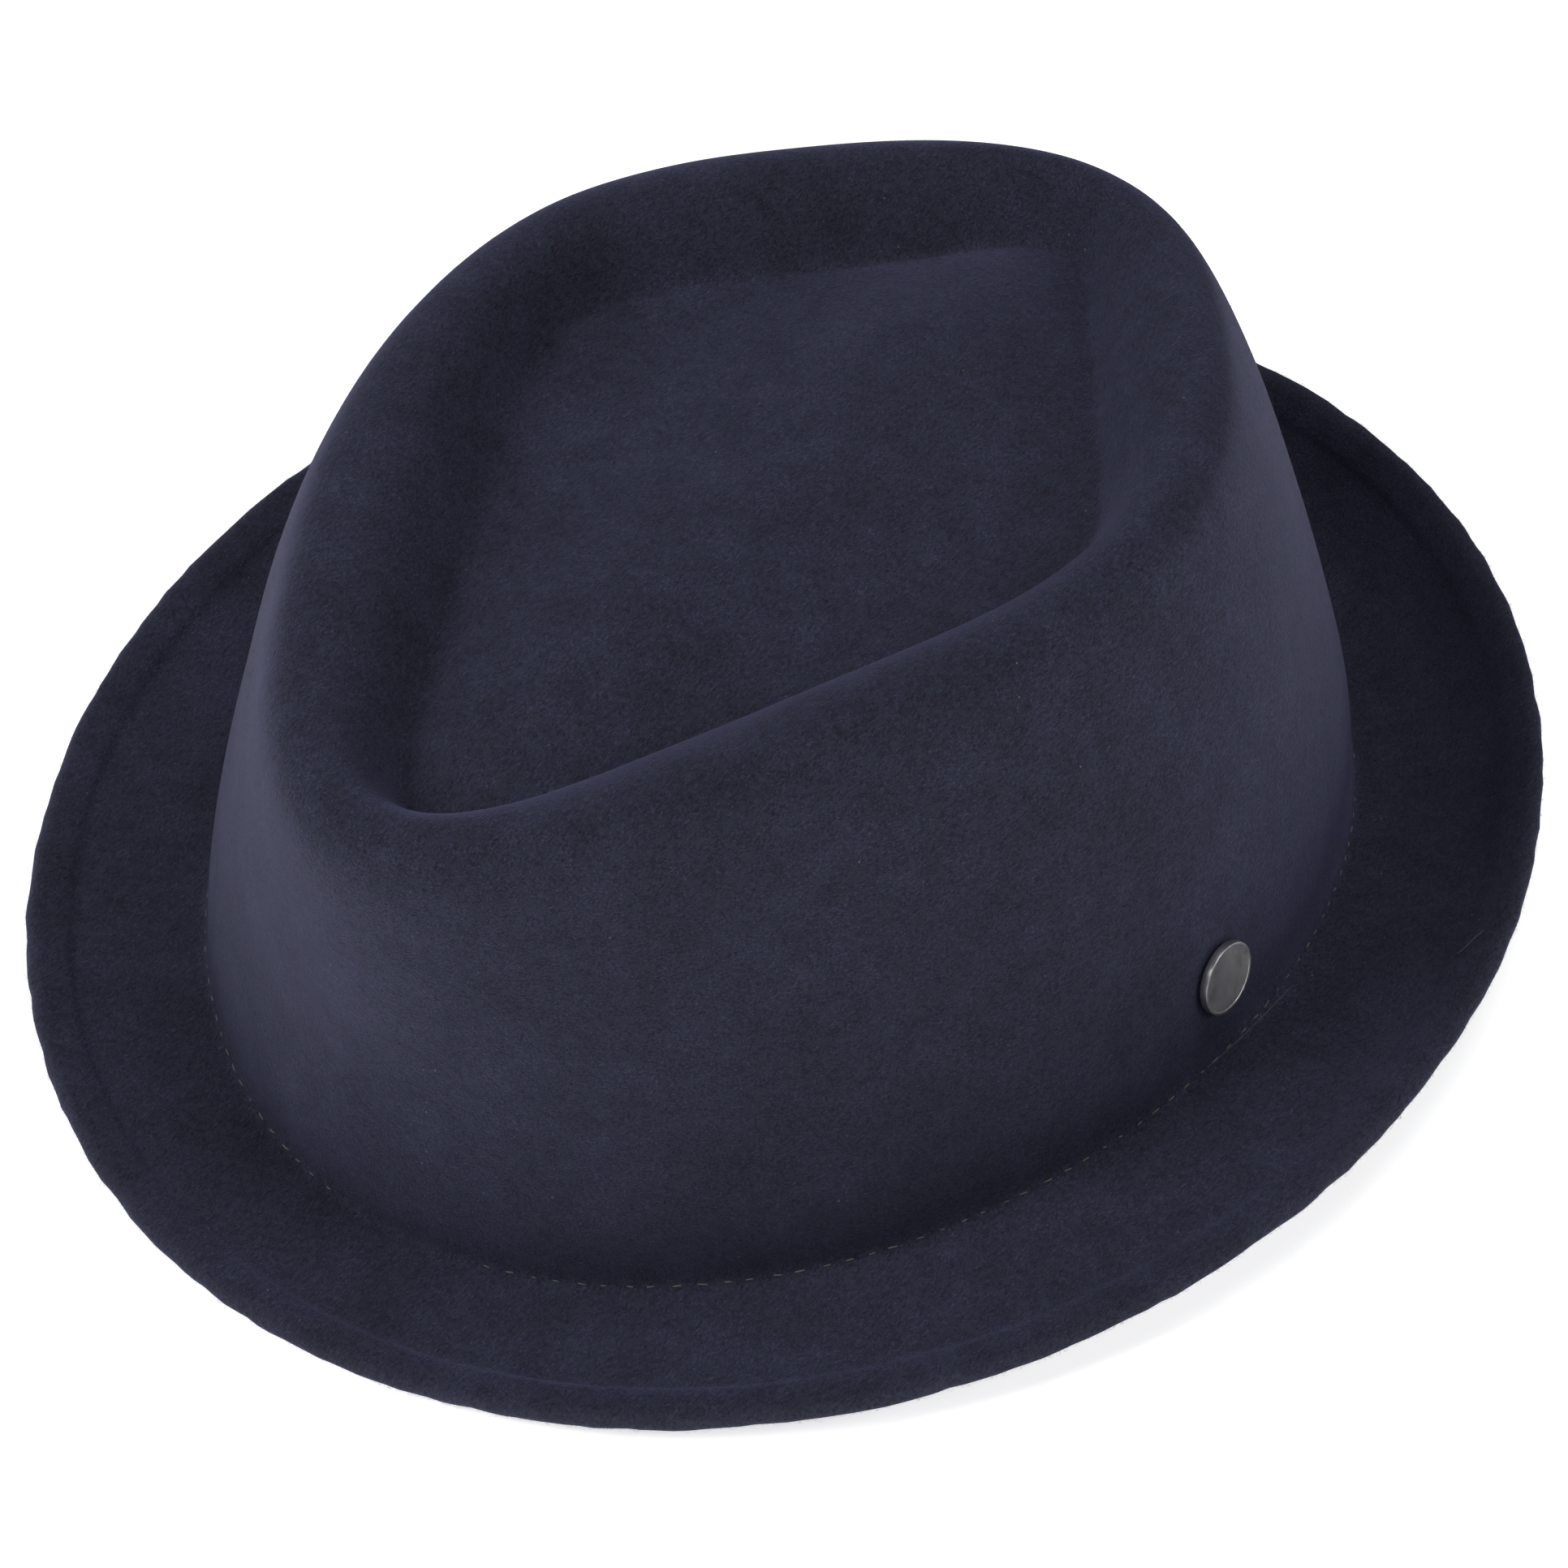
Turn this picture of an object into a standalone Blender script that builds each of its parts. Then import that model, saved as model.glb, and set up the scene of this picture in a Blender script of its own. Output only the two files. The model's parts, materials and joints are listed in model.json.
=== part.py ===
# A felt pork pie hat: a moulded crown with a diamond dent in its top, an upturned brim with a folded edge,
# a sweatband sewn inside, and a small plain metal badge on the wearer's left.
# Metres, +Z up, front toward -Y, wearer's left toward +X. The hat rests on the plane z = 0.
import math
from collections import namedtuple

import bmesh
import bpy
import numpy as np
from mathutils import Matrix

# Outside of the crown at the stitched crease, where the crown meets the brim
headWidth = 0.168
headLength = 0.202
# Top of the rim round the dent above the crease at the sides, and how far the dent sinks below that rim
crownHeight = 0.0797
dentDepth = 0.0108
# Overall brim, edge to edge
brimWidth = 0.2290
brimLength = 0.2555
# How high the top of the brim's edge stands above the floor
brimFrontHeight = 0.0026
brimSideHeight = 0.0125
brimBackHeight = 0.0199
# The crease's height above the floor at the sides, and how much lower it dips at front and back
creaseHeight = 0.0077
creaseDip = 0.0062
# Felt, and the edge of it that is folded over onto the brim
feltThickness = 0.0022
weltWidth = 0.0075
weltHeight = 0.0008
# Sweatband: where its sewn edge lies above the crease, its height and thickness, and how far its top leans in
bandStart = 0.0016
bandHeight = 0.034
bandThickness = 0.0010
bandLean = 0.0032
# Badge: a plain disc just off the felt on a post, held inside by a washer
badgeDiameter = 0.0116
badgeThickness = 0.0012
badgeEdgeRound = 0.0003
badgeGap = 0.0005
badgeAngle = math.radians(88)
badgeHeight = 0.0155
postDiameter = 0.0016
clutchDiameter = 0.0080
clutchThickness = 0.0012
postProtrusion = 0.0002
# Space left between pieces that touch
clearance = 0.0003

ringPoints = 80
roundSegments = 48
# How far the underside tucks in at the brim's edge, as a share of the thickness there
edgeTuck = 0.4
# Turn to either side, in radians, over which the wall's direction is measured
smallTurn = 0.02
# Points closer than this are one point on a turned piece
mergeDistance = 0.00001

# The crown from the dent's floor down to the crease. side is a share of half the head's width; front, back
# and shift are shares of half its length; corner is 2 for an oval and more for a diamond; height and tip are
# shares of crownHeight, tip lowering the front; sink and ends are shares of dentDepth, ends raising front and
# back over the sides; steps is the number of rings down to the next section.
Section = namedtuple("Section", "name side front back shift corner height sink tip ends steps")
crownSections = [
    Section("floor middle", 0.08, 0.12, 0.09, 0.06, 2.2, 1.0, 0.60, 0.00, 0.02, 2),
    Section("floor inner", 0.27, 0.47, 0.32, 0.06, 3.0, 1.0, 0.70, -0.003, 0.12, 2),
    Section("floor outer", 0.475, 0.81, 0.54, 0.065, 5.4, 1.0, 0.93, -0.006, -0.04, 1),
    Section("beside the valley", 0.548, 0.92, 0.625, 0.07, 6.6, 1.0, 0.98, -0.008, -0.18, 1),
    Section("valley", 0.565, 0.94, 0.642, 0.07, 6.6, 1.0, 1.00, -0.008, -0.20, 1),
    Section("foot of the dent's wall", 0.576, 0.95, 0.655, 0.07, 6.2, 1.0, 0.90, -0.010, -0.22, 1),
    Section("dent's wall", 0.600, 0.962, 0.683, 0.065, 4.8, 1.0, 0.52, -0.012, -0.26, 1),
    Section("lip", 0.630, 0.98, 0.712, 0.06, 3.8, 1.0, 0.18, -0.016, -0.30, 2),
    Section("rim", 0.700, 1.025, 0.755, 0.05, 2.75, 1.0, 0.00, -0.018, -0.31, 1),
    Section("outside of the rim", 0.742, 1.055, 0.788, 0.045, 2.6, 0.985, 0.00, -0.018, -0.31, 1),
    Section("shoulder", 0.770, 1.07, 0.812, 0.04, 2.5, 0.935, 0.00, -0.018, -0.31, 2),
    Section("upper wall", 0.86, 1.04, 0.90, 0.025, 2.4, 0.72, 0.00, -0.012, -0.20, 3),
    Section("middle wall", 0.955, 1.00, 0.965, 0.01, 2.1, 0.35, 0.00, -0.006, -0.10, 3),
    Section("lower wall", 0.995, 1.00, 0.998, 0.00, 2.0, 0.08, 0.00, 0.00, 0.00, 1),
    Section("crease", 1.00, 1.00, 1.00, 0.00, 2.0, 0.00, 0.00, 0.00, 0.00, 0),
]

# The brim from the crease out to its edge, both columns as shares of the way
BrimRow = namedtuple("BrimRow", "name out rise")
brimRows = [
    BrimRow("by the crease", 0.07, 0.00),
    BrimRow("inner brim", 0.25, 0.05),
    BrimRow("middle of brim", 0.50, 0.22),
    BrimRow("outer brim", 0.66, 0.42),
    BrimRow("edge", 1.00, 1.00),
]

# The folded edge from its inner step out to the edge: inset as a share of weltWidth, lift of weltHeight
WeltRow = namedtuple("WeltRow", "name inset lift")
weltRows = [
    WeltRow("foot of the step", 1.00, 0.00),
    WeltRow("top of the step", 0.90, 0.85),
    WeltRow("middle of the fold", 0.50, 1.00),
    WeltRow("before the edge", 0.16, 0.85),
]

# The sweatband up the wall: height as a share of bandHeight, lean as a share of bandLean
BandRow = namedtuple("BandRow", "name height lean")
bandRows = [
    BandRow("sewn edge", 0.00, 0.00),
    BandRow("below the badge", 0.25, 0.72),
    BandRow("above the badge", 0.60, 0.85),
    BandRow("top edge", 1.00, 1.00),
]


def clearScene():
    for obj in list(bpy.data.objects):
        bpy.data.objects.remove(obj)


def smoothRows(sections):
    # Rings between the sections, each column on a smooth curve through the table's values
    values = np.array([section[1:-1] for section in sections], float)
    stations = np.concatenate([[0], np.cumsum([section.steps for section in sections[:-1]])])
    slopes = np.gradient(values, stations, axis=0)
    rows = []
    for index in range(len(sections) - 1):
        span = stations[index + 1] - stations[index]
        for step in range(sections[index].steps):
            k = step / span
            a, b = values[index], values[index + 1]
            da, db = slopes[index] * span, slopes[index + 1] * span
            rows.append(
                a * (2 * k**3 - 3 * k**2 + 1)
                + da * (k**3 - 2 * k**2 + k)
                + b * (3 * k**2 - 2 * k**3)
                + db * (k**3 - k**2)
            )
    rows.append(values[-1])
    return np.array(rows)


def diamond(u, corner):
    # A closed curve of radius 1 at front, back and sides, from an oval (corner 2) to a diamond
    x, y = np.sin(u), np.cos(u)
    radius = ((np.abs(x + y) ** corner + np.abs(x - y) ** corner) / 2) ** (-1 / corner)
    return x * radius, y * radius


def creaseLevel(u):
    return creaseHeight - creaseDip / 2 * (1 + np.cos(2 * u))


def crownRing(row, u):
    side, front, back, shift, corner, height, sink, tip, ends = row
    x, y = diamond(u, corner)
    half = headLength / 2
    length = np.where(y > 0, front, back) * half
    level = creaseLevel(u) * (1 - height) + creaseHeight * height
    z = level + crownHeight * (height + tip * np.cos(u)) - dentDepth * sink + dentDepth * ends * np.cos(2 * u)
    return np.stack([side * headWidth / 2 * x, shift * half - length * y, z], axis=-1)


def brimRing(out, rise, u):
    inner = np.stack([headWidth / 2 * np.sin(u), -headLength / 2 * np.cos(u)], axis=-1)
    outer = np.stack([brimWidth / 2 * np.sin(u), -brimLength / 2 * np.cos(u)], axis=-1)
    ends = (brimFrontHeight + brimBackHeight) / 2
    tilt = (brimBackHeight - brimFrontHeight) / 2
    edge = brimSideHeight + (ends - brimSideHeight) * np.cos(u) ** 2 - tilt * np.cos(u)
    xy = inner * (1 - out) + outer * out
    z = creaseLevel(u) * (1 - rise) + edge * rise
    return np.concatenate([xy, z[..., None]], axis=-1)


def sheet(u):
    # The felt's upper surface without its folded edge: a ring for each row, the middle of the dent first
    rings = [crownRing(row, u) for row in smoothRows(crownSections)]
    rings += [brimRing(row.out, row.rise, u) for row in brimRows]
    return np.array(rings)


def unit(vectors):
    return vectors / np.maximum(np.linalg.norm(vectors, axis=-1, keepdims=True), 1e-12)


def thicknessDirections(rings):
    # For each point the step that moves both strips beside it outward by one unit, as a mitre does
    around = np.roll(rings, -1, axis=1) - np.roll(rings, 1, axis=1)
    down = np.diff(rings, axis=0)
    before = unit(np.cross(np.concatenate([down[:1], down]), around))
    after = unit(np.cross(np.concatenate([down, down[-1:]]), around))
    both = 1 + np.sum(before * after, axis=-1, keepdims=True)
    return (before + after) / np.maximum(both, 0.5)


def feltRings():
    # All rings of the closed felt body: over the top from the dent out to the edge, then back underneath
    u = np.arange(ringPoints) * 2 * math.pi / ringPoints
    rings = sheet(u)
    outward = thicknessDirections(rings)
    inner, edge = rings[-2], rings[-1]
    width = np.linalg.norm(edge - inner, axis=-1, keepdims=True)
    slope = (edge - inner) / width
    lift = outward[-1]
    fold = [edge - slope * weltWidth * row.inset + lift * weltHeight * row.lift for row in weltRows]
    top = list(rings[:-1]) + fold
    thick = feltThickness + weltHeight
    tip = [edge + lift * (weltHeight - thick / 2)]
    under = rings - outward * feltThickness
    under[-1] -= slope * thick * edgeTuck
    under[..., 2] = np.maximum(under[..., 2], 0)
    return top + tip + list(under[::-1])


def newObject(name, mesh):
    obj = bpy.data.objects.new(name, mesh)
    bpy.context.scene.collection.objects.link(obj)
    return obj


def meshFrom(bm, name):
    bmesh.ops.recalc_face_normals(bm, faces=bm.faces[:])
    mesh = bpy.data.meshes.new(name)
    bm.to_mesh(mesh)
    bm.free()
    for polygon in mesh.polygons:
        polygon.use_smooth = True
    return mesh


def ballFromRings(rings, name):
    # A ball with a ring of points for each row, pressed into shape: its poles are the dent's two sides
    count = len(rings) + 1
    bm = bmesh.new()
    bmesh.ops.create_uvsphere(bm, u_segments=ringPoints, v_segments=count, radius=1)
    for vert in bm.verts:
        x, y, z = vert.co
        row = round(math.acos(max(-1, min(1, z))) * count / math.pi)
        column = round(math.atan2(x, -y) * ringPoints / (2 * math.pi)) % ringPoints
        if row == 0:
            vert.co = rings[0].mean(axis=0)
        elif row == count:
            vert.co = rings[-1].mean(axis=0)
        else:
            vert.co = rings[row - 1][column]
    return meshFrom(bm, name)


def wallFrame(height, u):
    # Point and outward direction of the crown's outside at a height above the crease
    span = np.array([u - smallTurn, u, u + smallTurn])
    rings = sheet(span)
    start = len(smoothRows(crownSections)) - 1
    levels = rings[: start + 1, 1, 2] - rings[start, 1, 2]
    row = next(i for i in range(start, 0, -1) if levels[i - 1] > height)
    k = (height - levels[row]) / (levels[row - 1] - levels[row])
    point = rings[row, 1] * (1 - k) + rings[row - 1, 1] * k
    along = rings[row, 2] - rings[row, 0]
    up = rings[row - 1, 1] - rings[row, 1]
    return point, unit(np.cross(along, up))


def feltBody():
    body = newObject("felt_body", ballFromRings(feltRings(), "felt_body"))
    point, outward = wallFrame(badgeHeight, badgeAngle)
    hole = newObject("badge_hole", rodMesh("badge_hole", postDiameter + 2 * clearance, 4 * feltThickness))
    hole.matrix_world = placement(point - outward * feltThickness / 2, outward)
    hole.hide_render = True
    hole.display_type = "WIRE"
    cut = body.modifiers.new("badge hole", "BOOLEAN")
    cut.operation = "DIFFERENCE"
    cut.solver = "EXACT"
    cut.object = hole
    return body


def sweatband():
    u = np.arange(ringPoints) * 2 * math.pi / ringPoints
    outer, inner = [], []
    for row in bandRows:
        height = bandStart + row.height * bandHeight
        frames = [wallFrame(height, angle) for angle in u]
        points = np.array([point for point, _ in frames])
        outward = np.array([direction for _, direction in frames])
        back = feltThickness + clearance + bandLean * row.lean
        outer.append(points - outward * back)
        inner.append(points - outward * (back + bandThickness))
    loops = outer + inner[::-1]
    bpy.ops.mesh.primitive_torus_add(major_segments=ringPoints, minor_segments=len(loops))
    obj = bpy.context.object
    obj.name = obj.data.name = "sweatband"
    for index, vert in enumerate(obj.data.vertices):
        vert.co = loops[index % len(loops)][index // len(loops)]
    bm = bmesh.new()
    bm.from_mesh(obj.data)
    bmesh.ops.recalc_face_normals(bm, faces=bm.faces[:])
    bm.to_mesh(obj.data)
    bm.free()
    bpy.ops.object.shade_smooth()
    return obj


def rodMesh(name, diameter, length):
    bm = bmesh.new()
    bmesh.ops.create_cone(
        bm,
        cap_ends=True,
        segments=roundSegments,
        radius1=diameter / 2,
        radius2=diameter / 2,
        depth=length,
    )
    return meshFrom(bm, name)


def placement(point, outward):
    # Stands local +Z along outward, with local +Y as near to up as it can be
    z = outward
    x = unit(np.cross([0, 0, 1], z))
    y = np.cross(z, x)
    return Matrix([[x[i], y[i], z[i], point[i]] for i in range(3)] + [[0, 0, 0, 1]])


def turnedMesh(profile, name):
    # A turned piece from radius and height pairs, spun round its own axis
    bm = bmesh.new()
    verts = [bm.verts.new((radius, 0, height)) for radius, height in profile]
    edges = [bm.edges.new(pair) for pair in zip(verts, verts[1:])]
    bmesh.ops.spin(
        bm,
        geom=verts + edges,
        cent=(0, 0, 0),
        axis=(0, 0, 1),
        angle=2 * math.pi,
        steps=roundSegments,
        use_duplicate=False,
    )
    bmesh.ops.remove_doubles(bm, verts=bm.verts[:], dist=mergeDistance)
    return meshFrom(bm, name)


def badge():
    point, outward = wallFrame(badgeHeight, badgeAngle)
    low = badgeGap
    high = low + badgeThickness
    radius = badgeDiameter / 2
    post = postDiameter / 2
    end = -feltThickness - clearance - clutchThickness - postProtrusion
    edge = badgeEdgeRound
    profile = [
        (0, end),
        (post, end),
        (post, low),
        (radius - edge, low),
        (radius, low + edge),
        (radius, high - edge),
        (radius - edge, high),
        (0, high),
    ]
    obj = newObject("badge", turnedMesh(profile, "badge"))
    obj.matrix_world = placement(point, outward)
    return obj


def badgeClutch():
    point, outward = wallFrame(badgeHeight, badgeAngle)
    high = -feltThickness - clearance
    low = high - clutchThickness
    hole = postDiameter / 2 + clearance
    radius = clutchDiameter / 2
    profile = [(hole, low), (radius, low), (radius, high), (hole, high), (hole, low)]
    obj = newObject("badge_clutch", turnedMesh(profile, "badge_clutch"))
    obj.matrix_world = placement(point, outward)
    return obj


def material(name, colour, roughness, metallic):
    made = bpy.data.materials.new(name)
    made.use_nodes = True
    shader = made.node_tree.nodes["Principled BSDF"]
    shader.inputs["Base Color"].default_value = (*colour, 1)
    shader.inputs["Roughness"].default_value = roughness
    shader.inputs["Metallic"].default_value = metallic
    return made


clearScene()
feltBody().data.materials.append(material("navy wool felt", (0.030, 0.032, 0.055), 0.95, 0.0))
sweatband().data.materials.append(material("black cotton tape", (0.012, 0.012, 0.014), 0.85, 0.0))
badge().data.materials.append(material("satin silver metal", (0.60, 0.59, 0.58), 0.35, 1.0))
badgeClutch().data.materials.append(material("plain clutch metal", (0.50, 0.50, 0.50), 0.40, 1.0))
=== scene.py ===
import json
import math

import bpy
import numpy as np
from mathutils import Matrix, Vector, noise

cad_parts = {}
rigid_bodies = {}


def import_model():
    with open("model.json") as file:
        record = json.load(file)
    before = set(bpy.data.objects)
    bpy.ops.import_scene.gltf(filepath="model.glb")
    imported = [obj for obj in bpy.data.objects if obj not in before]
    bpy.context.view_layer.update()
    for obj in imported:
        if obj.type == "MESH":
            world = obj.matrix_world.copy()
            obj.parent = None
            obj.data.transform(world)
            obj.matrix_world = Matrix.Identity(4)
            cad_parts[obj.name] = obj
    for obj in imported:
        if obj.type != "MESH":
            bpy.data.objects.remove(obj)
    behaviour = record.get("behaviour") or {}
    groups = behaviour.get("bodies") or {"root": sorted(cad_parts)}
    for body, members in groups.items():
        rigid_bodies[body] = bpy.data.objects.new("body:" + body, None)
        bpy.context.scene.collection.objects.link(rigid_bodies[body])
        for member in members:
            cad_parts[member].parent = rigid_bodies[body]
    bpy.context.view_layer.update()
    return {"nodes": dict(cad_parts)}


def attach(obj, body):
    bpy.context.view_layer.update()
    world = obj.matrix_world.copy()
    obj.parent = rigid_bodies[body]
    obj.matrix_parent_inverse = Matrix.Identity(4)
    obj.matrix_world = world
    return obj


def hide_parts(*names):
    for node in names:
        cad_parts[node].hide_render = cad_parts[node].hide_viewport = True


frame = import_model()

nodes = frame["nodes"]
print("frame loaded:", ", ".join(sorted(nodes)))


# small helpers

def deselectAll():
    for other in bpy.context.view_layer.objects:
        other.select_set(False)


def selectOnly(piece):
    deselectAll()
    piece.select_set(True)
    bpy.context.view_layer.objects.active = piece


def editMode(piece):
    selectOnly(piece)
    bpy.ops.object.mode_set(mode="EDIT")


def objectMode():
    bpy.ops.object.mode_set(mode="OBJECT")


def addObject(name, mesh):
    piece = bpy.data.objects.new(name, mesh)
    bpy.context.scene.collection.objects.link(piece)
    return piece


def copyOfNode(nodeName, pieceName):
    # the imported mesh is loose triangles, so a copy of it is merged and turned back to quads
    piece = addObject(pieceName, nodes[nodeName].data.copy())
    piece.data.name = pieceName
    piece.data.materials.clear()
    editMode(piece)
    bpy.ops.mesh.select_all(action="SELECT")
    bpy.ops.mesh.remove_doubles(threshold=0.00001)
    bpy.ops.mesh.tris_convert_to_quads(
        face_threshold=math.radians(50), shape_threshold=math.radians(50))
    objectMode()
    return piece


def subdivide(piece, levels):
    selectOnly(piece)
    smoother = piece.modifiers.new("smoother", "SUBSURF")
    smoother.levels = levels
    smoother.render_levels = levels
    bpy.ops.object.modifier_apply(modifier=smoother.name)


def pointsOf(mesh):
    points = np.empty(len(mesh.vertices) * 3, np.float32)
    mesh.vertices.foreach_get("co", points)
    return points.reshape(-1, 3).astype(float)


def normalsOf(mesh):
    normals = np.empty(len(mesh.vertices) * 3, np.float32)
    mesh.vertices.foreach_get("normal", normals)
    return normals.reshape(-1, 3).astype(float)


def setPoints(mesh, points):
    mesh.vertices.foreach_set("co", points.astype(np.float32).ravel())
    mesh.update()


def smoothStep(low, high, value):
    t = np.clip((value - low) / (high - low), 0, 1)
    return t * t * (3 - 2 * t)


# small node helpers

class Nodes:
    # wires a material's nodes in short calls
    def __init__(self, name):
        self.material = bpy.data.materials.new(name)
        self.material.use_nodes = True
        self.tree = self.material.node_tree
        self.shader = self.tree.nodes["Principled BSDF"]
        self.place = self.add("ShaderNodeTexCoord").outputs["Object"]

    def add(self, kind, **values):
        node = self.tree.nodes.new(kind)
        for key, value in values.items():
            setattr(node, key, value)
        return node

    def link(self, source, target):
        if isinstance(source, (int, float)):
            target.default_value = source
        else:
            self.tree.links.new(source, target)

    def noise(self, place, scale, detail=2.0, roughness=0.5, colour=False):
        node = self.add("ShaderNodeTexNoise")
        self.link(place, node.inputs["Vector"])
        node.inputs["Scale"].default_value = scale
        node.inputs["Detail"].default_value = detail
        node.inputs["Roughness"].default_value = roughness
        return node.outputs["Color" if colour else "Fac"]

    def turned(self, place, turn, stretch):
        node = self.add("ShaderNodeMapping")
        self.link(place, node.inputs["Vector"])
        node.inputs["Rotation"].default_value = turn
        node.inputs["Scale"].default_value = stretch
        return node.outputs["Vector"]

    def math(self, operation, first, second=0.0):
        node = self.add("ShaderNodeMath", operation=operation)
        self.link(first, node.inputs[0])
        self.link(second, node.inputs[1])
        return node.outputs[0]

    def spread(self, value, low, high, toLow=0.0, toHigh=1.0):
        node = self.add("ShaderNodeMapRange")
        self.link(value, node.inputs["Value"])
        node.inputs["From Min"].default_value = low
        node.inputs["From Max"].default_value = high
        node.inputs["To Min"].default_value = toLow
        node.inputs["To Max"].default_value = toHigh
        return node.outputs[0]

    def mix(self, share, first, second, blend="MIX"):
        node = self.add("ShaderNodeMix", data_type="RGBA", blend_type=blend)
        self.link(share, node.inputs[0])
        for source, target in ((first, node.inputs[6]), (second, node.inputs[7])):
            if isinstance(source, tuple):
                target.default_value = (*source, 1.0)
            else:
                self.link(source, target)
        return node.outputs[2]

    def ramp(self, value, stops):
        node = self.add("ShaderNodeValToRGB")
        self.link(value, node.inputs[0])
        elements = node.color_ramp.elements
        while len(elements) < len(stops):
            elements.new(0.5)
        for element, (position, colour) in zip(elements, stops):
            element.position = position
            element.color = (*colour, 1.0)
        return node.outputs[0]

    def bump(self, height, depth, strength, under=None):
        node = self.add("ShaderNodeBump")
        self.link(height, node.inputs["Height"])
        node.inputs["Distance"].default_value = depth
        node.inputs["Strength"].default_value = strength
        if under is not None:
            self.link(under, node.inputs["Normal"])
        return node.outputs[0]

    def acrossAndAlong(self):
        node = self.add("ShaderNodeSeparateXYZ")
        self.link(self.place, node.inputs[0])
        return node.outputs[:2]

    def set(self, **values):
        for key, value in values.items():
            socket = self.shader.inputs[key.replace("_", " ")]
            if isinstance(value, bpy.types.NodeSocket):
                self.link(value, socket)
            else:
                socket.default_value = value


# the felt

felt = {
    "subdivisions": 2,
    "handWobble": 0.00022, "handWobbleSize": 0.021,   # the surface of a hand-blocked hat
    "edgeWobble": 0.00035, "edgeWobbleSize": 0.0042,  # scallops of the turned edge
    "edgeStart": 0.972, "edgeFull": 0.992,            # shares of the brim's oval
    "restHeight": 0.0006, "freeHeight": 0.003,        # under the first the hat rests, unshaken
    "brimHalfWidth": 0.1145, "brimHalfLength": 0.1279,
    "bendScale": 420, "bend": 0.0016,
    "streakScale": 2700, "streakStretch": (1.0, 0.36, 1.0),
    "streakTurns": ((0.3, 0.2, 0.0), (0.5, 1.3, 1.05), (1.4, -0.4, 2.1)),
    "grainScale": 3400, "cloudScale": 42, "patchScale": 170, "tintScale": 620,
    "streakShare": 0.50, "grainShare": 0.26, "cloudShare": 0.14, "patchShare": 0.10,
    "toneLow": 0.42, "toneHigh": 0.68,
    "speckScale": 420, "speckOuter": 0.085, "speckInner": 0.045, "speckPatches": 95,
    "patchDepth": 0.0005, "grainDepth": 0.00022, "streakDepth": 0.00026,
    "darkest": (0.0076, 0.0079, 0.0130),
    "dark": (0.0153, 0.0161, 0.0296),
    "middle": (0.0272, 0.0285, 0.0530),
    "light": (0.055, 0.058, 0.106),
    "greenish": (0.024, 0.033, 0.047),
    "speck": (0.20, 0.20, 0.23),
    # the paler edge colour below is a painted highlight (sheen) on the brim's turned edge
    "edgeSheenTone": (0.056, 0.057, 0.086),
    "sheen": 0.20, "sheenRoughness": 0.45, "sheenTint": (0.50, 0.51, 1.0, 1.0),
}


def fibreField(n):
    # streaks in three directions, bent by a slower noise, so that no direction leads
    slow = n.noise(n.place, felt["bendScale"], 2, colour=True)
    bent = n.add("ShaderNodeVectorMath", operation="MULTIPLY_ADD")
    n.link(slow, bent.inputs[0])
    bent.inputs[1].default_value = (felt["bend"], felt["bend"], felt["bend"])
    n.link(n.place, bent.inputs[2])
    fields = []
    for turn in felt["streakTurns"]:
        stretched = n.turned(bent.outputs[0], turn, felt["streakStretch"])
        fields.append(n.noise(stretched, felt["streakScale"], 2, 0.6))
    pair = n.math("MAXIMUM", fields[0], fields[1])
    return n.math("MAXIMUM", pair, fields[2])


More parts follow.
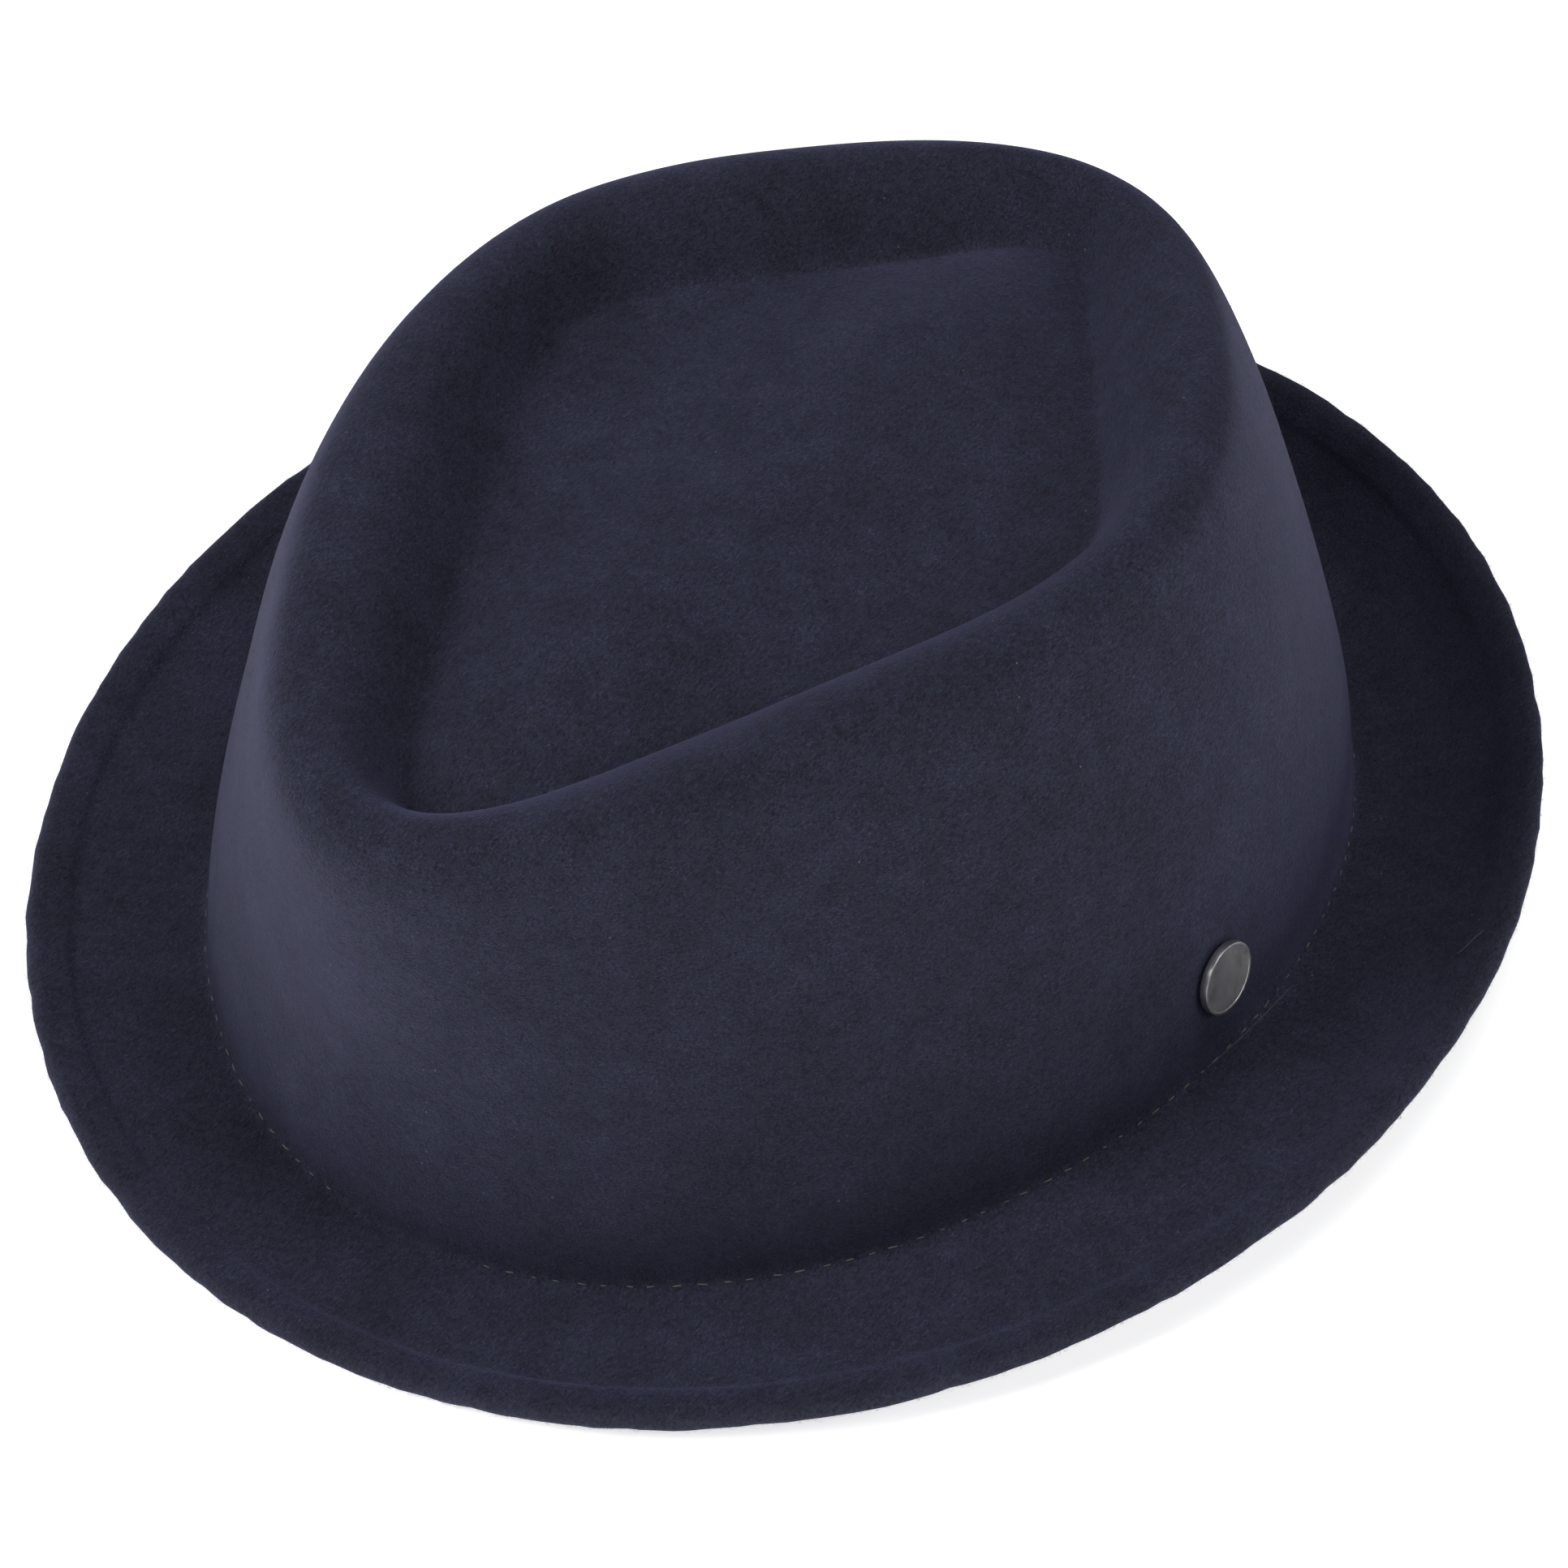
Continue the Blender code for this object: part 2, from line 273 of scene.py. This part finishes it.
def feltMaterial(name, lift):
    n = Nodes(name)
    streaks = fibreField(n)
    grain = n.noise(n.place, felt["grainScale"], 2, 0.6)
    clouds = n.noise(n.place, felt["cloudScale"], 4, 0.55)
    patches = n.noise(n.place, felt["patchScale"], 3, 0.6)
    mixed = n.math("MULTIPLY", streaks, felt["streakShare"])
    for field, share in ((grain, "grainShare"), (clouds, "cloudShare"), (patches, "patchShare")):
        mixed = n.math("ADD", mixed, n.math("MULTIPLY", field, felt[share]))
    tone = n.spread(mixed, felt["toneLow"], felt["toneHigh"])
    colour = n.ramp(tone, (
        (0.0, felt["darkest"]), (0.3, felt["dark"]),
        (0.62, felt["middle"]), (1.0, felt["light"])))
    tints = n.spread(n.noise(n.place, felt["tintScale"], 2), 0.52, 0.70, 0.0, 0.55)
    colour = n.mix(tints, colour, felt["greenish"])
    specks = n.add("ShaderNodeTexVoronoi")
    n.link(n.place, specks.inputs["Vector"])
    specks.inputs["Scale"].default_value = felt["speckScale"]
    dots = n.spread(specks.outputs["Distance"], felt["speckOuter"], felt["speckInner"])
    rare = n.spread(n.noise(n.place, felt["speckPatches"], 2), 0.60, 0.66, 0.0, 0.6)
    colour = n.mix(n.math("MULTIPLY", dots, rare), colour, felt["speck"])
    # painted highlight: the colour is made paler towards the brim's turned edge, a painted sheen
    # where the edge catches the light
    x, y = n.acrossAndAlong()
    squares = []
    for place, half in ((x, "brimHalfWidth"), (y, "brimHalfLength")):
        share = n.math("ABSOLUTE", n.math("DIVIDE", place, felt[half]))
        squares.append(n.math("POWER", share, 2.0))
    rim = n.spread(n.math("ADD", *squares), 0.955, 1.005, 0.0, 0.75)
    paintedEdgeSheen = n.math("MULTIPLY", rim, n.spread(streaks, 0.45, 0.70, 0.35, 1.0))
    colour = n.mix(paintedEdgeSheen, colour, felt["edgeSheenTone"])
    if lift != 1.0:
        colour = n.mix(1.0, colour, (lift, lift, lift), "MULTIPLY")
    coarse = n.bump(patches, felt["patchDepth"], 0.30)
    middle = n.bump(grain, felt["grainDepth"], 0.55, coarse)
    fine = n.bump(streaks, felt["streakDepth"], 0.70, middle)
    n.set(Base_Color=colour, Normal=fine, Roughness=n.spread(streaks, 0.4, 0.7, 1.0, 0.86),
          Sheen_Weight=felt["sheen"], Sheen_Roughness=felt["sheenRoughness"],
          Sheen_Tint=felt["sheenTint"], Specular_IOR_Level=0.25)
    return n.material


def wobble(points, size, seed):
    offset = Vector((seed, seed * 1.7, seed * 0.6))
    return np.array([noise.noise(Vector(p) / size + offset) for p in points])


def brimShare(points):
    # how far out on the brim's oval: 1 at its edge
    return np.hypot(points[:, 0] / felt["brimHalfWidth"], points[:, 1] / felt["brimHalfLength"])


def makeFelt():
    hat = copyOfNode("felt_body", "felt_hat")
    subdivide(hat, felt["subdivisions"])
    points = pointsOf(hat.data)
    normals = normalsOf(hat.data)
    radius = brimShare(points)
    free = smoothStep(felt["restHeight"], felt["freeHeight"], points[:, 2])
    overall = wobble(points, felt["handWobbleSize"], 3.1) * felt["handWobble"] * free
    points += normals * overall[:, None]
    outward = np.stack([points[:, 0], points[:, 1], np.zeros(len(points))], 1)
    outward /= np.maximum(np.linalg.norm(outward, axis=1), 1e-6)[:, None]
    edge = smoothStep(felt["edgeStart"], felt["edgeFull"], radius) * felt["edgeWobble"]
    points += outward * (edge * wobble(points, felt["edgeWobbleSize"], 7.7))[:, None]
    points[:, 2] += edge * free * wobble(points, felt["edgeWobbleSize"] * 2.2, 1.9)
    points[:, 2] = np.maximum(points[:, 2], 0.0)
    setPoints(hat.data, points)
    selectOnly(hat)
    bpy.ops.object.shade_smooth()
    hat.data.materials.append(feltMaterial("navy wool felt nap", 1.0))
    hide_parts("felt_body")
    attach(hat, "root")
    print("felt:", len(hat.data.polygons), "faces")
    return hat


hat = makeFelt()


# the loose fibres that stand off the felt

fuzz = {
    "count": 20000, "edgeCount": 9000,
    "thickness": 0.000032,
    "shortest": 0.0005, "longest": 0.0017,
    "edgeShortest": 0.0003, "edgeLongest": 0.0011,
    "flattest": 4, "steepest": 40,           # degrees off the surface
    "tone": 1.6,
}


def fibreModel(name, thickness):
    # one closed fibre of unit length: a three-sided point at both ends, bowed in the middle
    deselectAll()
    bpy.ops.mesh.primitive_cone_add(
        vertices=3, radius1=thickness / 2, radius2=0, depth=0.5,
        end_fill_type="TRIFAN", location=(0, 0, 0.75))
    fibre = bpy.context.object
    fibre.name = name
    bpy.ops.object.transform_apply(location=True, rotation=True, scale=True)
    editMode(fibre)
    bpy.ops.mesh.select_all(action="DESELECT")
    objectMode()
    for vertex in fibre.data.vertices:
        atMiddle = abs(vertex.co.z - 0.5) < 0.01
        atAxis = math.hypot(vertex.co.x, vertex.co.y) < thickness * 0.1
        vertex.select = atMiddle and atAxis
    editMode(fibre)
    bpy.ops.transform.translate(value=(0, 0, -0.5))
    objectMode()
    return fibre


def scatter(mesh, count, random, weight):
    # area-weighted places on the mesh, with their normals
    mesh.calc_loop_triangles()
    corners = np.empty(len(mesh.loop_triangles) * 3, np.int32)
    mesh.loop_triangles.foreach_get("vertices", corners)
    corners = corners.reshape(-1, 3)
    points = pointsOf(mesh)
    normals = normalsOf(mesh)
    a, b, c = (points[corners[:, i]] for i in range(3))
    share = np.linalg.norm(np.cross(b - a, c - a), axis=1) * weight((a + b + c) / 3)
    picked = random.choice(len(corners), count, p=share / share.sum())
    s = np.sqrt(random.random(count))[:, None]
    t = random.random(count)[:, None]
    place = a[picked] * (1 - s) + b[picked] * (s * (1 - t)) + c[picked] * (s * t)
    normal = normals[corners[picked]].mean(axis=1)
    normal /= np.maximum(np.linalg.norm(normal, axis=1), 1e-9)[:, None]
    return place, normal


def layCopies(name, model, place, along, lift, length):
    # one mesh of copies of the model: its Z goes along each fibre, its bow away from the felt
    base = pointsOf(model.data)
    model.data.calc_loop_triangles()
    faces = np.array([t.vertices[:] for t in model.data.loop_triangles])
    side = np.cross(along, lift)
    side /= np.maximum(np.linalg.norm(side, axis=1), 1e-9)[:, None]
    up = np.cross(side, along)
    spots = (
        place[:, None, :]
        + base[None, :, 2, None] * (along * length[:, None])[:, None, :]
        + base[None, :, 0, None] * side[:, None, :]
        + base[None, :, 1, None] * up[:, None, :])
    bow = 4 * base[:, 2] * (1 - base[:, 2])
    spots += bow[None, :, None] * (up * (length * 0.16)[:, None])[:, None, :]
    count = len(place)
    allFaces = (faces[None] + (np.arange(count) * len(base))[:, None, None]).reshape(-1, 3)
    mesh = bpy.data.meshes.new(name)
    mesh.from_pydata(spots.reshape(-1, 3).tolist(), [], allFaces.tolist())
    mesh.update()
    return addObject(name, mesh)


def makeFuzz():
    random = np.random.default_rng(17)
    model = fibreModel("one_fibre", fuzz["thickness"])

    def outerFelt(middle):
        return np.where(middle[:, 2] > 0.001, 1.0, 0.0)

    def brimEdge(middle):
        return np.where((brimShare(middle) > 0.985) & (middle[:, 2] > 0.0012), 1.0, 0.0)

    first, firstNormal = scatter(hat.data, fuzz["count"], random, outerFelt)
    second, secondNormal = scatter(hat.data, fuzz["edgeCount"], random, brimEdge)
    place = np.concatenate([first, second])
    normal = np.concatenate([firstNormal, secondNormal])
    count = len(place)
    around = random.normal(size=(count, 3))
    flat = around - normal * (around * normal).sum(1)[:, None]
    flat /= np.maximum(np.linalg.norm(flat, axis=1), 1e-9)[:, None]
    slope = np.radians(random.uniform(fuzz["flattest"], fuzz["steepest"], count))
    along = flat * np.cos(slope)[:, None] + normal * np.sin(slope)[:, None]
    length = np.concatenate([
        random.uniform(fuzz["shortest"], fuzz["longest"], fuzz["count"]),
        random.uniform(fuzz["edgeShortest"], fuzz["edgeLongest"], fuzz["edgeCount"])])
    fibres = layCopies("felt_fuzz", model, place - normal * 0.00005, along, normal, length)
    low = pointsOf(fibres.data)
    low[:, 2] = np.maximum(low[:, 2], 0.00002)
    setPoints(fibres.data, low)
    bpy.data.objects.remove(model)
    fibres.data.materials.append(feltMaterial("navy wool fibres", fuzz["tone"]))
    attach(fibres, "root")
    print("fuzz:", count, "fibres,", len(fibres.data.polygons), "faces")


makeFuzz()


# two stray hairs, one by the seam under the badge and one curled on the brim

stray = {
    "thickness": 0.00007, "colour": (0.16, 0.16, 0.17),
    "hairs": (
        ((0.0845, -0.0082, 0.0089), (0.0855, -0.0030, 0.0096), (0.0860, 0.0022, 0.0100),
         (0.0856, 0.0078, 0.0094), (0.0856, 0.0130, 0.0092)),
        ((0.1041, 0.0308, 0.0131), (0.1053, 0.0322, 0.0141), (0.1046, 0.0344, 0.0146),
         (0.1057, 0.0352, 0.0145), (0.1052, 0.0364, 0.0143)),
    ),
}


def makeStrayHairs():
    hairs = []
    for line in stray["hairs"]:
        deselectAll()
        bpy.ops.curve.primitive_nurbs_path_add(location=(0, 0, 0))
        hair = bpy.context.object
        for point, place in zip(hair.data.splines[0].points, line):
            point.co = (*place, 1.0)
        hair.data.bevel_depth = stray["thickness"] / 2
        hair.data.bevel_resolution = 1
        hair.data.use_fill_caps = True
        bpy.ops.object.convert(target="MESH")
        hairs.append(bpy.context.object)
    for hair in hairs:
        hair.select_set(True)
    bpy.context.view_layer.objects.active = hairs[0]
    bpy.ops.object.join()
    joined = bpy.context.object
    joined.name = "stray_hairs"
    bpy.ops.object.shade_smooth()
    joined.data.materials.clear()
    n = Nodes("pale stray hair")
    shade = n.noise(n.place, 900, 2)
    dark = tuple(c * 0.5 for c in stray["colour"])
    n.set(Base_Color=n.mix(shade, dark, stray["colour"]), Normal=n.bump(shade, 0.00002, 0.3),
          Roughness=n.spread(shade, 0.3, 0.7, 0.7, 0.85), Sheen_Weight=0.1)
    joined.data.materials.append(n.material)
    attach(joined, "root")
    print("stray hairs:", len(hairs))


makeStrayHairs()


# the seam that holds the sweatband: short stitches in the crease

seam = {
    "halfWidth": 0.0841, "halfLength": 0.1011,   # the outside of the crease
    "creaseHeight": 0.0077, "creaseDip": 0.0062,
    "pitch": 0.0036, "stitch": 0.0022, "thread": 0.00027,
    "colour": (0.115, 0.108, 0.098),
}


def creaseLevel(u):
    return seam["creaseHeight"] - seam["creaseDip"] / 2 * (1 + math.cos(2 * u))


def stitchModel(name, length, thread):
    # a grain of thread that rises from the felt, runs along it and dips back in
    deselectAll()
    bpy.ops.mesh.primitive_cylinder_add(
        vertices=8, radius=thread / 2, depth=length, end_fill_type="TRIFAN",
        location=(0, 0, 0), rotation=(0, math.radians(90), 0))
    stitch = bpy.context.object
    stitch.name = name
    bpy.ops.object.transform_apply(location=True, rotation=True, scale=True)
    editMode(stitch)
    bpy.ops.mesh.select_all(action="DESELECT")
    objectMode()
    for edge in stitch.data.edges:
        ends = [stitch.data.vertices[i].co for i in edge.vertices]
        edge.select = abs(ends[0].x - ends[1].x) > length * 0.9
    editMode(stitch)
    bpy.ops.mesh.select_mode(type="EDGE")
    bpy.ops.mesh.subdivide(number_cuts=4)
    objectMode()
    points = pointsOf(stitch.data)
    share = np.clip(np.abs(points[:, 0]) / (length / 2), 0, 1)
    points[:, 1:] *= (1 - 0.45 * share ** 3)[:, None]
    points[:, 2] -= thread * 0.9 * share ** 2
    setPoints(stitch.data, points)
    selectOnly(stitch)
    bpy.ops.object.shade_smooth()
    return stitch


def threadMaterial(name, colour):
    n = Nodes(name)
    twist = n.noise(n.turned(n.place, (0.6, 0.4, 0.8), (1.0, 0.4, 1.0)), 3800, 2)
    soil = n.noise(n.place, 140, 3)
    dark = tuple(c * 0.45 for c in colour)
    n.set(Base_Color=n.mix(n.spread(soil, 0.35, 0.7), colour, n.mix(twist, dark, colour)),
          Normal=n.bump(twist, 0.00012, 0.7), Roughness=n.spread(twist, 0.3, 0.7, 0.9, 0.7),
          Sheen_Weight=0.2)
    return n.material


def makeSeam():
    random = np.random.default_rng(5)
    model = stitchModel("one_stitch", seam["stitch"], seam["thread"])
    a = seam["halfWidth"]
    b = seam["halfLength"]
    steps = 2000
    angles = [2 * math.pi * i / steps for i in range(steps + 1)]
    line = [Vector((a * math.sin(u), -b * math.cos(u), 0)) for u in angles]
    travelled = np.concatenate([[0], np.cumsum([(q - p).length for p, q in zip(line, line[1:])])])
    count = round(travelled[-1] / seam["pitch"])
    copies = []
    for i in range(count):
        at = (i + random.uniform(-0.12, 0.12)) / count * travelled[-1] % travelled[-1]
        u = float(np.interp(at, travelled, angles))
        start = Vector((a * math.sin(u), -b * math.cos(u), creaseLevel(u) + 0.0004))
        spot, normal = hat.closest_point_on_mesh(start)[1:3]
        forward = Vector((a * math.cos(u), b * math.sin(u), 0)).normalized()
        forward = (forward - normal * forward.dot(normal)).normalized()
        forward = Matrix.Rotation(random.uniform(-0.16, 0.16), 3, normal) @ forward
        side = normal.cross(forward)
        turn = Matrix((forward, side, normal)).transposed().to_4x4()
        size = Matrix.Diagonal((random.uniform(0.65, 1.15), 1, 1, 1))
        sunk = normal * random.uniform(-0.00008, 0.00005)
        copy = addObject("stitch", model.data.copy())
        copy.matrix_world = Matrix.Translation(spot + sunk) @ turn @ size
        copies.append(copy)
    deselectAll()
    for copy in copies:
        copy.select_set(True)
    bpy.context.view_layer.objects.active = copies[0]
    bpy.ops.object.join()
    stitches = bpy.context.object
    stitches.name = "seam_stitches"
    bpy.ops.object.transform_apply(location=True, rotation=True, scale=True)
    bpy.data.objects.remove(model)
    stitches.data.materials.clear()
    stitches.data.materials.append(threadMaterial("waxed thread", seam["colour"]))
    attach(stitches, "root")
    print("seam:", count, "stitches")


makeSeam()


# the sweatband

band = {
    "ribs": 620, "tape": (0.012, 0.012, 0.014), "wornTape": (0.028, 0.027, 0.028),
}


def makeBand():
    tape = copyOfNode("sweatband", "sweatband_tape")
    selectOnly(tape)
    bpy.ops.object.shade_smooth_by_angle(angle=math.radians(50))
    n = Nodes("ribbed cotton tape")
    x, y = n.acrossAndAlong()
    ribs = n.math("SINE", n.math("MULTIPLY", n.math("ARCTAN2", x, y), float(band["ribs"])))
    weave = n.noise(n.place, 2600, 2)
    soil = n.noise(n.place, 60, 4)
    colour = n.mix(n.spread(soil, 0.35, 0.75), band["tape"], band["wornTape"])
    # painted shade: the colour is darkened towards near black in the grooves between the ribs
    colour = n.mix(n.spread(ribs, -1, 1, 0.55, 0.0), colour, (0.004, 0.004, 0.005))
    ribbed = n.bump(ribs, 0.00018, 0.8)
    n.set(Base_Color=colour, Normal=n.bump(weave, 0.00012, 0.5, ribbed),
          Roughness=n.spread(weave, 0.3, 0.7, 0.92, 0.74), Sheen_Weight=0.15)
    tape.data.materials.append(n.material)
    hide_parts("sweatband")
    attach(tape, "root")
    print("sweatband:", len(tape.data.polygons), "faces")


makeBand()


# the badge

pin = {
    "diameter": 0.0116, "thickness": 0.0012, "rim": 0.00042, "field": 0.00007,
    "bevel": 0.00012, "post": 0.0016,
    "metal": (0.74, 0.72, 0.72), "dull": (0.60, 0.585, 0.585), "roughness": 0.34,
    "clutchMetal": (0.48, 0.47, 0.46), "clutchDull": (0.36, 0.35, 0.34), "clutchRoughness": 0.42,
}


def metalMaterial(name, colour, dull, roughness):
    n = Nodes(name)
    brushed = n.noise(n.turned(n.place, (0.2, 0.1, 0.4), (1.0, 1.0, 0.12)), 5200, 3, 0.6)
    smudge = n.noise(n.place, 380, 3)
    n.set(Base_Color=n.mix(n.spread(smudge, 0.38, 0.68), colour, dull), Metallic=1.0,
          Roughness=n.spread(n.math("ADD", n.math("MULTIPLY", brushed, 0.5),
                                    n.math("MULTIPLY", smudge, 0.5)),
                             0.3, 0.7, roughness - 0.08, roughness + 0.12),
          Normal=n.bump(brushed, 0.00003, 0.35))
    return n.material


def badgePlace():
    # the badge's flat face gives its centre and direction
    mesh = nodes["badge"].data
    widest = max(mesh.polygons, key=lambda face: face.area)
    facing = widest.normal.copy()
    if facing.x < 0:
        facing.negate()
    ahead = [v.co.dot(facing) for v in mesh.vertices]
    front = max(ahead)
    face = [v.co for v in mesh.vertices if v.co.dot(facing) > front - 0.0004]
    low = Vector([min(p[i] for p in face) for i in range(3)])
    high = Vector([max(p[i] for p in face) for i in range(3)])
    centre = (low + high) / 2
    centre += facing * (front - centre.dot(facing))
    reach = front - min(ahead)
    return centre, facing, reach


def makeBadge():
    centre, facing, reach = badgePlace()
    turn = facing.to_track_quat("Z", "Y").to_euler()
    deselectAll()
    bpy.ops.mesh.primitive_cylinder_add(
        vertices=64, radius=pin["diameter"] / 2, depth=pin["thickness"],
        end_fill_type="NGON", location=(0, 0, -pin["thickness"] / 2))
    badge = bpy.context.object
    badge.name = "badge_disc"
    bpy.ops.object.transform_apply(location=True, rotation=True, scale=True)

    def pickFaces(test):
        objectMode()
        for face in badge.data.polygons:
            face.select = test(face)
        bpy.ops.object.mode_set(mode="EDIT")
        bpy.ops.mesh.select_mode(type="FACE")

    editMode(badge)
    bpy.ops.mesh.select_all(action="DESELECT")
    pickFaces(lambda face: face.normal.z > 0.9)
    bpy.ops.mesh.inset(thickness=pin["rim"], depth=0)
    bpy.ops.mesh.inset(thickness=pin["field"], depth=-pin["field"])
    pickFaces(lambda face: face.normal.z < -0.9)
    bpy.ops.mesh.inset(thickness=pin["diameter"] / 2 - pin["post"] / 2, depth=0)
    bpy.ops.mesh.extrude_region_move(
        TRANSFORM_OT_translate={"value": (0, 0, -(reach - pin["thickness"]))})
    objectMode()
    selectOnly(badge)
    rounding = badge.modifiers.new("rounding", "BEVEL")
    rounding.width = pin["bevel"]
    rounding.segments = 3
    rounding.limit_method = "ANGLE"
    rounding.angle_limit = math.radians(35)
    bpy.ops.object.modifier_apply(modifier=rounding.name)
    bpy.ops.object.shade_smooth_by_angle(angle=math.radians(40))
    badge.rotation_euler = turn
    badge.location = centre
    bpy.ops.object.transform_apply(location=True, rotation=True, scale=True)
    badge.data.materials.append(
        metalMaterial("satin silver", pin["metal"], pin["dull"], pin["roughness"]))
    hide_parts("badge")
    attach(badge, "root")
    clutch = nodes["badge_clutch"]
    clutch.data.materials[0] = metalMaterial(
        "plain clutch steel", pin["clutchMetal"], pin["clutchDull"], pin["clutchRoughness"])
    print("badge:", len(badge.data.polygons), "faces")


makeBadge()


# studio: a glowing white table, two softboxes on the camera's side,
# a weak top light and a low back light

view = {
    "azimuth": math.radians(36.66), "elevation": math.radians(43.4), "roll": math.radians(-0.46),
    "aim": Vector((0, 0, 0.0046)), "distance": 0.8716,
    "lens": 126.25, "shiftX": -0.0026, "shiftY": 0.0296,
}

studio = {
    "floor": 0.86, "floorGlow": 0.70, "world": 0.0, "reach": 1.1, "side": 0.5,
    "lights": (
        # name, degrees round from image right through away from the camera, degrees up, power
        ("left softbox", 204, 32, 7.4),
        ("right softbox", 330, 32, 3.6),
        ("top light", 0, 78, 3.6),
        ("low back light", 124, 10, 1.0),
    ),
}


def makeFloor():
    deselectAll()
    bpy.ops.mesh.primitive_plane_add(size=8, location=(0, 0, 0))
    floor = bpy.context.object
    floor.name = "floor"
    n = Nodes("white paper floor")
    paper = n.noise(n.place, 240, 3)
    tone = studio["floor"]
    n.set(Base_Color=n.mix(paper, (tone, tone, tone), (tone * 0.985, tone * 0.985, tone * 0.985)),
          Roughness=n.spread(paper, 0.3, 0.7, 0.75, 0.85), Normal=n.bump(paper, 0.0002, 0.1),
          Emission_Color=(1.0, 1.0, 1.0, 1.0), Emission_Strength=studio["floorGlow"])
    floor.data.materials.append(n.material)


def makeLights():
    a = view["azimuth"]
    right = Vector((math.cos(a), math.sin(a), 0))
    away = Vector((-math.sin(a), math.cos(a), 0))
    for name, around, above, power in studio["lights"]:
        light = bpy.data.lights.new(name, "AREA")
        light.shape = "SQUARE"
        light.size = studio["side"]
        light.energy = power
        lamp = bpy.data.objects.new(name, light)
        bpy.context.scene.collection.objects.link(lamp)
        level = math.cos(math.radians(above)) * studio["reach"]
        height = math.sin(math.radians(above)) * studio["reach"] + 0.12
        lamp.location = (right * math.cos(math.radians(around)) * level
                         + away * math.sin(math.radians(around)) * level + Vector((0, 0, height)))
        toHat = Vector((0, 0, 0.05)) - lamp.location
        lamp.rotation_euler = toHat.to_track_quat("-Z", "Y").to_euler()
    world = bpy.data.worlds.new("studio")
    world.use_nodes = True
    world.node_tree.nodes["Background"].inputs["Color"].default_value = (1.0, 1.0, 1.0, 1.0)
    world.node_tree.nodes["Background"].inputs["Strength"].default_value = studio["world"]
    bpy.context.scene.world = world


def makeCamera():
    a = view["azimuth"]
    e = view["elevation"]
    r = view["roll"]
    back = Vector((math.sin(a) * math.cos(e), -math.cos(a) * math.cos(e), math.sin(e)))
    right = Vector((math.cos(a), math.sin(a), 0))
    up = back.cross(right)
    rolledRight = right * math.cos(r) + up * math.sin(r)
    rolledUp = up * math.cos(r) - right * math.sin(r)
    lens = bpy.data.cameras.new("camera")
    lens.sensor_width = 36
    lens.lens = view["lens"]
    lens.shift_x = view["shiftX"]
    lens.shift_y = view["shiftY"]
    lens.clip_start = 0.01
    camera = bpy.data.objects.new("camera", lens)
    bpy.context.scene.collection.objects.link(camera)
    turn = Matrix((rolledRight, rolledUp, back)).transposed().to_4x4()
    camera.matrix_world = Matrix.Translation(view["aim"] + back * view["distance"]) @ turn
    bpy.context.scene.camera = camera


makeFloor()
makeLights()
makeCamera()
bpy.context.scene.view_settings.view_transform = "Standard"
print("studio and camera placed")
